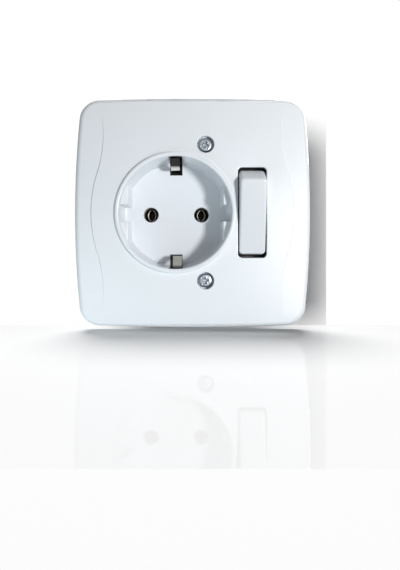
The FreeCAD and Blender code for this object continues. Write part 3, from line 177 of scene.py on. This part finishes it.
shelf_place = (0, shelf_back - shelf_depth / 2, shelf_level)
bpy.ops.mesh.primitive_plane_add(size=shelf_depth, location=shelf_place)
shelf = bpy.context.object
shelf.name = "shelf"
bpy.ops.object.transform_apply(location=True, rotation=True, scale=True)
finish, seen = white_stage("polished_shelf", shelf_glow)
mirror = finish.node("ShaderNodeBsdfGlossy", inputs={"Roughness": polish_blur})
share = finish.fade(finish.place("Y"), polish_end, polish_end + polish_fade, 0.0, polish)
mixed = finish.node("ShaderNodeMixShader", inputs={0: share, 1: seen, 2: mirror})
finish.feed(finish.result.inputs["Surface"], mixed)
shelf.data.materials.append(finish.material)

board_depth = 0.030
board_left = -0.049
board_right = 0.0563
board_foot = -0.060
board_height = 0.5
board_glow = 0.12

board_place = ((board_left + board_right) / 2, board_depth, board_foot + board_height / 2)
bpy.ops.mesh.primitive_plane_add(size=1.0, location=board_place, rotation=(math.pi / 2, 0, 0))
board = bpy.context.object
board.name = "board"
board.scale = (board_right - board_left, board_height, 1.0)
finish, seen = white_stage("white_board", board_glow)
behind = finish.node("ShaderNodeNewGeometry", output="Backfacing")
clear = finish.node("ShaderNodeBsdfTransparent")
one_sided = finish.node("ShaderNodeMixShader", inputs={0: behind, 1: seen, 2: clear})
finish.feed(finish.result.inputs["Surface"], one_sided)
board.data.materials.append(finish.material)


def group(name, *things):
    """Things that a lamp lights, or that throw shadows in its light."""
    made = bpy.data.collections.new(name)
    for thing in things:
        made.objects.link(thing)
    return made


on_shelf = group("lit_shelf", shelf)
on_board = group("lit_board", board)
on_socket = group("lit_socket", *nodes.values())
plain_light = (1.0, 1.0, 1.0)
cool_light = (0.90, 1.0, 1.0)
cooler_light = (0.80, 0.97, 1.0)
lamp_target = (0, -0.01, 0)


def aim(lamp, name, lights):
    """Name a lamp, and say what it lights. Only the socket throws shadows in its light."""
    lamp.name = name
    lamp.visible_camera = False
    lamp.light_linking.receiver_collection = lights
    lamp.light_linking.blocker_collection = on_socket


def soft_sun(name, lights, direction, degrees, strength):
    """A sun for one part of the room, as wide in the sky as its angle says."""
    turn = Vector(direction).to_track_quat("-Z", "Y").to_euler()
    bpy.ops.object.light_add(type="SUN", rotation=turn)
    sun = bpy.context.object
    sun.data.angle = math.radians(degrees)
    sun.data.energy = strength
    sun.visible_glossy = False
    aim(sun, name, lights)


def square_lamp(name, place, size, power, colour=plain_light):
    """A square lamp that lights the socket alone, and is aimed at its middle."""
    turn = (Vector(lamp_target) - Vector(place)).to_track_quat("-Z", "Y").to_euler()
    bpy.ops.object.light_add(type="AREA", location=place, rotation=turn)
    lamp = bpy.context.object
    lamp.data.size = size
    lamp.data.energy = power
    lamp.data.color = colour
    aim(lamp, name, on_socket)


soft_sun("board_sun", on_board, direction=(0.46, 1.0, -0.12), degrees=28, strength=3.15)
soft_sun("shelf_sun", on_shelf, direction=(0.09, -0.39, -1.0), degrees=34, strength=2.95)
square_lamp("key_lamp", place=(0.145, -0.29, -0.012), size=0.04, power=0.75)
square_lamp("right_lamp", (0.10, -0.08, -0.005), size=0.06, power=0.018, colour=cool_light)
square_lamp("low_lamp", (-0.07, -0.06, -0.07), size=0.06, power=0.044, colour=cooler_light)
square_lamp("top_lamp", place=(0.02, -0.035, 0.18), size=0.06, power=0.055)
square_lamp("back_lamp", place=(0.30, 0.50, 0.30), size=0.40, power=6.0)

room_light = 0.04
room_white = 1.0
world = bpy.data.worlds.new("white_room")
bpy.context.scene.world = world
room = Shading(world)
sky = room.tree.nodes["Background"]
sky.inputs["Color"].default_value = (1.0, 1.0, 1.0, 1.0)
strength = room.fade(room.looked_at(), 0.0, 1.0, room_light, room_white)
room.feed(sky.inputs["Strength"], strength)

# The base and the disc in its bowl are pressed from a dark thermoset. Its skin is satin, with the
# cloudy flow of the moulding and tiny specks of the filler.
flow_scale = 45.0
speck_scale = 900.0
speck_height = 0.00003
gloss_spread = 0.06


def darker(colour, share):
    """A colour with a share of its light taken away."""
    return (*(channel * (1 - share) for channel in colour), 1.0)


def moulded(name, colour, roughness, grain, coat=0.0, cloud=0.035):
    """A moulded plastic: slow changes of tone, small changes of gloss, and a faint grain."""
    finish = Finish(name)
    spot = finish.node("ShaderNodeTexCoord", output="Object")
    pattern = {"Vector": spot, "Scale": flow_scale, "Detail": 3.0}
    clouds = finish.node("ShaderNodeTexNoise", inputs=pattern)
    pattern = {"Vector": spot, "Scale": speck_scale, "Detail": 2.0}
    specks = finish.node("ShaderNodeTexNoise", inputs=pattern)
    finish.paint(finish.blend(clouds, darker(colour, cloud), darker(colour, 0)))
    gloss = roughness - gloss_spread / 2 + gloss_spread * specks
    finish.feed(finish.shader.inputs["Roughness"], gloss)
    relief = {"Strength": grain, "Distance": speck_height, "Height": specks}
    finish.feed(finish.shader.inputs["Normal"], finish.node("ShaderNodeBump", inputs=relief))
    finish.shader.inputs["Coat Weight"].default_value = coat
    return finish


def dress(finish, *names):
    """Give CAD nodes their finish."""
    for name in names:
        nodes[name].data.materials.clear()
        nodes[name].data.materials.append(finish.material)


charcoal = (0.040, 0.038, 0.036)
thermoset = moulded("black_thermoset", charcoal, roughness=0.42, grain=0.5, cloud=0.3)
dress(thermoset, "base_housing", "contact_retainer")

# The conducting strips are stamped and bent from bare brass, a little tarnished, with the fine
# lines of the rolling along them.
line_scale = 600.0
line_height = 0.00002
line_depth = 0.25
tarnish_scale = 260.0
rolled_spread = 0.12
all_ways = (1.0, 1.0, 1.0)
along_y = (1.0, 0.1, 1.0)
along_z = (1.0, 1.0, 0.1)


def metal(name, colour, roughness, brushed, dull=0.25):
    """A rolled or drawn metal, whose tone and gloss change a little."""
    finish = Finish(name)
    spot = finish.node("ShaderNodeTexCoord", output="Object")
    stretch = {"Vector": spot, "Scale": brushed}
    stretched = finish.node("ShaderNodeMapping", {"vector_type": "POINT"}, stretch)
    pattern = {"Vector": stretched, "Scale": line_scale, "Detail": 4.0}
    lines = finish.node("ShaderNodeTexNoise", inputs=pattern)
    pattern = {"Vector": spot, "Scale": tarnish_scale, "Detail": 3.0}
    clouds = finish.node("ShaderNodeTexNoise", inputs=pattern)
    finish.paint(finish.blend(clouds, darker(colour, dull), darker(colour, 0)))
    gloss = roughness - rolled_spread / 2 + rolled_spread * lines
    finish.feed(finish.shader.inputs["Roughness"], gloss)
    finish.shader.inputs["Metallic"].default_value = 1.0
    relief = {"Strength": line_depth, "Distance": line_height, "Height": lines}
    finish.feed(finish.shader.inputs["Normal"], finish.node("ShaderNodeBump", inputs=relief))
    return finish


brass_yellow = (0.78, 0.60, 0.33)
brass = metal("bare_brass", brass_yellow, roughness=0.3, brushed=along_z)
dress(brass, "earth_terminal", "feed_terminal", "fixed_contact", "moving_contact")

# Each pin contact ends in two sprung lips, which meet a plug's pin from both sides. They are dull
# with use, and their front edges show as two thin arcs through the holes in the well's floor.
lip_curve = 0.00267
lip_corners = 72
lip_half_height = 0.0024
lip_opening = 0.00147
lip_length = 0.0060
lip_wall = 0.00028
lip_rounding = 0.3 * lip_wall
lip_setback = 0.0012
lip_runs = ((0.15, 0.0), (0.25, 0.00010), (0.35, 0.00012), (0.25, -0.00016))
lip_crease = math.radians(40)
worn_grey = (0.36, 0.34, 0.30)
worn_brass = metal("worn_brass", worn_grey, roughness=0.36, brushed=along_y)
dress(worn_brass, "neutral_contact", "live_contact")


def pick(mesh, chosen):
    """Select the vertices of a mesh in edit mode that a test picks, and what lies between them."""
    bm = bmesh.from_edit_mesh(mesh)
    for item in (*bm.faces, *bm.edges, *bm.verts):
        item.select_set(False)
    for vertex in bm.verts:
        if chosen(vertex.co):
            vertex.select_set(True)
    bm.select_flush(True)
    bmesh.update_edit_mesh(mesh)


def settle(piece):
    """Make a piece the only one selected, and put its place into its mesh."""
    bpy.ops.object.select_all(action="DESELECT")
    piece.select_set(True)
    bpy.context.view_layer.objects.active = piece
    bpy.ops.object.transform_apply(location=True, rotation=True, scale=True)


def apply(piece, kind, **settings):
    """Add a modifier with its settings, and apply it."""
    modifier = piece.modifiers.new(kind.lower(), kind)
    for name, value in settings.items():
        setattr(modifier, name, value)
    bpy.ops.object.modifier_apply(modifier=modifier.name)


def join(name, pieces):
    """Join pieces to one, and name it."""
    bpy.ops.object.select_all(action="DESELECT")
    for piece in pieces:
        piece.select_set(True)
    bpy.context.view_layer.objects.active = pieces[0]
    bpy.ops.object.join()
    pieces[0].name = name
    return pieces[0]


def hand_over(piece, finish, body):
    """Give a new piece its finish and the body that it moves with."""
    piece.data.materials.clear()
    piece.data.materials.append(finish.material)
    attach(piece, body)
    on_socket.objects.link(piece)


def contact_lip(x, front, side):
    """One lip: an arc whose front edge bulges to the side, drawn on to the rear and inwards."""
    middle = x + side * (lip_opening - lip_curve)
    bpy.ops.mesh.primitive_circle_add(
        vertices=lip_corners,
        radius=lip_curve,
        location=(middle, front, 0),
        rotation=(math.pi / 2, 0, 0),
    )
    lip = bpy.context.object
    settle(lip)
    bpy.ops.object.mode_set(mode="EDIT")
    pick(lip.data, lambda co: (co.x - middle) * side < 0 or abs(co.z) > lip_half_height)
    bpy.ops.mesh.delete(type="VERT")
    bpy.ops.mesh.select_all(action="SELECT")
    for share, inward in lip_runs:
        travel = (-side * inward, share * lip_length, 0)
        bpy.ops.mesh.extrude_region_move(TRANSFORM_OT_translate={"value": travel})
    bpy.ops.object.mode_set(mode="OBJECT")
    apply(lip, "SOLIDIFY", thickness=lip_wall, offset=0.0)
    apply(lip, "BEVEL", width=lip_rounding, segments=2)
    bpy.ops.object.shade_smooth_by_angle(angle=lip_crease)
    return lip


for contact in ("neutral_contact", "live_contact"):
    low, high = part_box(contact)
    middle = (low[0] + high[0]) / 2
    front = low[1] + lip_setback
    lips = join(contact + "_lips", [contact_lip(middle, front, side) for side in (-1, 1)])
    hand_over(lips, worn_brass, "base")

# The earth bridge is one strip of nickel-plated bronze. Inside the base and at its upper end it is
# painted near-black, as painted shade and a painted dark reflection. The crest of the upper prong
# is painted bright as a painted highlight, and the lower prong is a warm grey.
crest_start = 0.0100
crest_end = 0.0166
prong_depth = 0.0030
painted_band_fade = 0.0006
painted_highlight_tone = (0.86, 0.84, 0.78, 1.0)
painted_shade_and_dark_reflection = (0.022, 0.018, 0.015, 1.0)
warm_grey = (0.46, 0.43, 0.37)
along_strip = (1.0, 0.1, 0.1)
bridge = metal("nickel_plated_bronze", warm_grey, roughness=0.3, brushed=along_strip)
height = bridge.place("Z")
# Painted highlight: a bright band on the upper prong's crest, above crest_start.
painted_highlight_band = bridge.fade(height, crest_start, crest_start + painted_band_fade, 0.0, 1.0)
upper = bridge.blend(painted_highlight_band, bridge.tone, painted_highlight_tone)
# Painted shade and dark reflection: near-black behind prong_depth and above crest_end.
in_front = bridge.fade(bridge.place("Y"), prong_depth, prong_depth + painted_band_fade, 1.0, 0.0)
below_end = bridge.fade(height, crest_end, crest_end + painted_band_fade, 1.0, 0.0)
bridge.paint(bridge.blend(below_end * in_front, painted_shade_and_dark_reflection, upper))
dress(bridge, "earth_bridge")

# Where the switch closes, the brass strips carry tips of silver alloy. They are riveted into the
# brass and bright with use.
silver_white = (0.80, 0.80, 0.78)
silver = metal("silver_alloy", silver_white, roughness=0.25, brushed=all_ways)
dress(silver, "fixed_contact_tip", "moving_contact_tip")

# The rivets, the screws and their clamp plates are steel, zinc-plated blue-white. The rocker's pin
# and the plunger's spring are bright steel with the same sheen.
zinc_tone = (0.56, 0.60, 0.65)
zinc_roughness = 0.34
zinc = metal("zinc_plated_steel", zinc_tone, zinc_roughness, all_ways)
dress(zinc, "strap_rivets", "retainer_screw", "rocker_pin", "plunger_spring")
dress(zinc, "pin_terminal_screws", "pin_clamp_plates", "earth_terminal_screw")
dress(zinc, "earth_clamp_plate", "switch_terminal_screws", "switch_clamp_plates", "cover_screws")

# The rocker is moulded of a greyer white than the plate, with a satin skin, and carries a sprung
# plunger of the same plastic. Deep inside the cover's window it is painted dark grey, as painted
# shade.
painted_shade_grey = (0.03, 0.03, 0.03, 1.0)
shade_start = -0.0066
shade_end = -0.0050
greyer_white = (0.70, 0.73, 0.765)
satin = moulded("satin_white", greyer_white, roughness=0.30, grain=0.05)
# Painted shade: the rocker turns dark grey deeper than the front of the cover's window.
rocker_shade = satin.fade(satin.place("Y"), shade_start, shade_end, 0.0, 1.0)
satin.paint(satin.blend(rocker_shade, satin.tone, painted_shade_grey))
dress(satin, "rocker", "rocker_plunger")

# The support strap is stamped from steel with the screws' plating. Round the rocker's opening it is
# painted dark grey, as painted shade, so that the gap above the rocker stays dark.
window_front = -0.0086
window_skin = 0.0010
window_edge = 0.0002
strap_gap = 0.003


def paint_window_shade(finish, gap):
    """Paint dark grey shade on what lies close round the rocker, below the front of the cover."""
    low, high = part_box("rocker")
    depth = finish.place("Y")
    near = finish.fade(depth, window_front, window_front + window_skin, 0.0, 1.0)
    for axis, side in (("X", 0), ("Z", 2)):
        spot = finish.place(axis)
        first = low[side] - gap
        last = high[side] + gap
        near = near * finish.fade(spot, first - window_edge, first, 0.0, 1.0)
        near = near * finish.fade(spot, last, last + window_edge, 1.0, 0.0)
    finish.paint(finish.blend(near, finish.tone, painted_shade_grey))


strap = metal("zinc_plated_strap", zinc_tone, zinc_roughness, all_ways)
# Painted shade round the rocker's opening.
paint_window_shade(strap, strap_gap)
dress(strap, "support_strap")

# The cover plate is one glossy moulding of white thermoset, with a faint blue cast and a very
# faint grain. It goes on last, and the walls of its window are painted dark grey, as painted shade.
window_gap = 0.0012
blue_white = (0.79, 0.82, 0.86)
glossy = moulded("glossy_white", blue_white, roughness=0.32, grain=0.10, coat=0.4)
# Painted shade on the walls of the cover's window.
paint_window_shade(glossy, window_gap)
dress(glossy, "cover_plate")

# Two pan-head screws of zinc-plated steel hold the cover. Each has a cross recess with a short mark
# between its arms, and lies sunk in the cover, turned and scuffed as it was driven home.
scuffed_grey = (0.40, 0.44, 0.49)
scuffed_zinc = metal("scuffed_zinc", scuffed_grey, 0.36, all_ways, dull=0.7)
head_radius = 0.00243
head_height = 0.00177
head_corners = 64
head_rounding = 0.00004
head_crease = math.radians(35)
seat_depth = 0.0018
upper_turn = 0.35
lower_turn = -0.2
shank_sunk = 0.0002
shank_plain = 0.0004
shank_corners = 32
thread_radius = 0.00145
thread_core = 0.0012
thread_pitch = 0.0005
thread_turns = 20
point_length = 0.0003
point_radius = 0.8 * thread_core
arm_reach = 0.00155
arm_half_width = 0.00048
arm_depth = 0.0011
arm_taper = 0.5
mark_place = 0.0014
mark_length = 0.0009
mark_width = 0.00040
mark_depth = 0.0006

# Each place on the head's rounded face: how far below the top, and the radius as a share.
head_face = ((0.00062, 1.0), (0.00040, 0.985), (0.00022, 0.94), (0.00010, 0.87))
head_face += ((0.00004, 0.78), (0.0, 0.62))


def disc(x, y, z, radius, corners):
    """A flat disc across the screw, from which its head or its shank is drawn out."""
    bpy.ops.mesh.primitive_circle_add(
        vertices=corners,
        radius=radius,
        fill_type="NGON",
        location=(x, y, z),
        rotation=(math.pi / 2, 0, 0),
    )
    made = bpy.context.object
    settle(made)
    return made


def draw_out(piece, start, outline, x, z):
    """Draw a flat disc out along Y through an outline of places and radii, to a closed solid."""
    bpy.ops.object.mode_set(mode="EDIT")
    bpy.ops.mesh.select_all(action="SELECT")
    last_y, last_radius = start
    for y, radius in outline:
        bpy.ops.mesh.extrude_region_move(TRANSFORM_OT_translate={"value": (0, y - last_y, 0)})
        size = radius / last_radius
        bpy.ops.transform.resize(value=(size, 1, size), center_override=(x, y, z))
        last_y, last_radius = y, radius
    bpy.ops.mesh.select_all(action="SELECT")
    bpy.ops.mesh.normals_make_consistent(inside=False)
    bpy.ops.object.mode_set(mode="OBJECT")


def cutter(place, halves, turn):
    """A block that is cut out of a screw's head. Its sizes are given from its middle."""
    bpy.ops.mesh.primitive_cube_add(size=2.0, location=place)
    block = bpy.context.object
    block.scale = halves
    block.rotation_euler.y = turn
    settle(block)
    return block


def cross_recess(x, front, z, turn):
    """What the recess takes out of the head: two tapered blades and four marks."""
    blocks = []
    for quarter in range(2):
        halves = (arm_reach, arm_depth, arm_half_width)
        blade = cutter((x, front, z), halves, turn + quarter * math.pi / 2)
        bpy.ops.object.mode_set(mode="EDIT")
        pick(blade.data, lambda co: co.y > front)
        taper = (arm_taper, 1, arm_taper)
        bottom = (x, front + arm_depth, z)
        bpy.ops.transform.resize(value=taper, center_override=bottom)
        bpy.ops.object.mode_set(mode="OBJECT")
        blocks.append(blade)
    for quarter in range(4):
        angle = turn + math.pi / 4 + quarter * math.pi / 2
        place = (x + mark_place * math.cos(angle), front, z - mark_place * math.sin(angle))
        blocks.append(cutter(place, (mark_length / 2, mark_depth, mark_width / 2), angle))
    return blocks


def screw_head(x, z, seat, turn):
    """A head with a flat seat, a rounded face and the cross recess."""
    front = seat - head_height
    head = disc(x, seat, z, head_radius, head_corners)
    outline = [(front + below, share * head_radius) for below, share in head_face]
    draw_out(head, (seat, head_radius), outline, x, z)
    for block in cross_recess(x, front, z, turn):
        bpy.context.view_layer.objects.active = head
        apply(head, "BOOLEAN", operation="DIFFERENCE", solver="EXACT", object=block)
        bpy.data.objects.remove(block)
    head.select_set(True)
    apply(head, "BEVEL", width=head_rounding, segments=2, angle_limit=head_crease)
    bpy.ops.object.shade_smooth_by_angle(angle=head_crease)
    return head


def screw_shank(x, z, seat):
    """A shank that starts plain inside the head, and carries a thread down to a blunt point."""
    start = seat - shank_sunk
    shank = disc(x, start, z, thread_radius, shank_corners)
    outline = [(seat + shank_plain, thread_radius)]
    for ridge in range(thread_turns):
        y = seat + shank_plain + ridge * thread_pitch
        outline += [(y + thread_pitch / 2, thread_core), (y + thread_pitch, thread_radius)]
    outline.append((y + thread_pitch + point_length, point_radius))
    draw_out(shank, (start, thread_radius), outline, x, z)
    return shank


def pan_screw(x, z, seat, turn):
    """A screw along Y, with its seat at a given depth and its head towards the room."""
    return [screw_head(x, z, seat, turn), screw_shank(x, z, seat)]


low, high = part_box("cover_screws")
screw_x = (low[0] + high[0]) / 2
packed_radius = (high[0] - low[0]) / 2
screw_z = high[2] - packed_radius
seat = low[1] + seat_depth
screws = pan_screw(screw_x, screw_z, seat, upper_turn)
screws += pan_screw(screw_x, -screw_z, seat, lower_turn)
screw_pair = join("cover_screw_pair", screws)
hand_over(screw_pair, scuffed_zinc, "base")
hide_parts("cover_screws")
